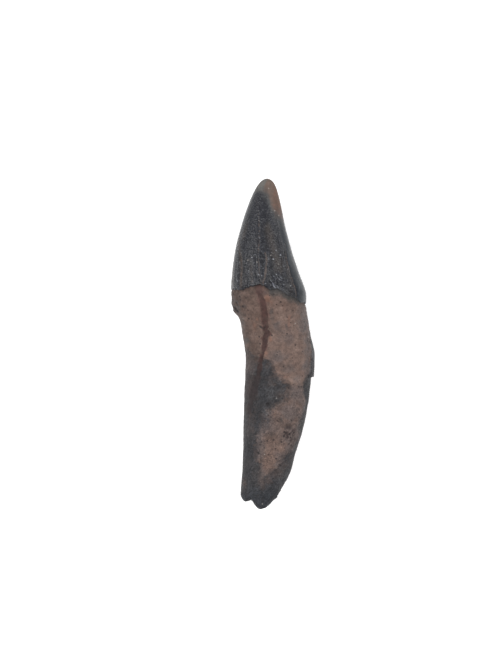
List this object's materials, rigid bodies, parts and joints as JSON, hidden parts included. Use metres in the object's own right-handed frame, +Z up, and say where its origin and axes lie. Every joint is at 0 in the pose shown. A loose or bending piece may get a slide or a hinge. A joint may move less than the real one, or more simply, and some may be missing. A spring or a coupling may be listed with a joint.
{
  "type": "fossil dolphin tooth",
  "caption": "Fossil dolphin tooth lying on its side: a curved root with a broken end and a fluted, pointed crown with a worn tip.",
  "frame": {"origin": "middle of the underside of the bounding box, on the plane that the tooth lies on", "axes": "+Y along the tooth from the root's broken end to the crown's tip, +X to the bulging side of the root, +Z up from the table"},
  "size_m": [0.0126, 0.05, 0.0095],
  "materials": {
    "fossil_tooth": "semi-matt mineralised tooth: near-black enamel crown, brown and charcoal root"
  },
  "bodies": {
    "root": {"tooth": "fossil_tooth"}
  },
  "joints": []
}
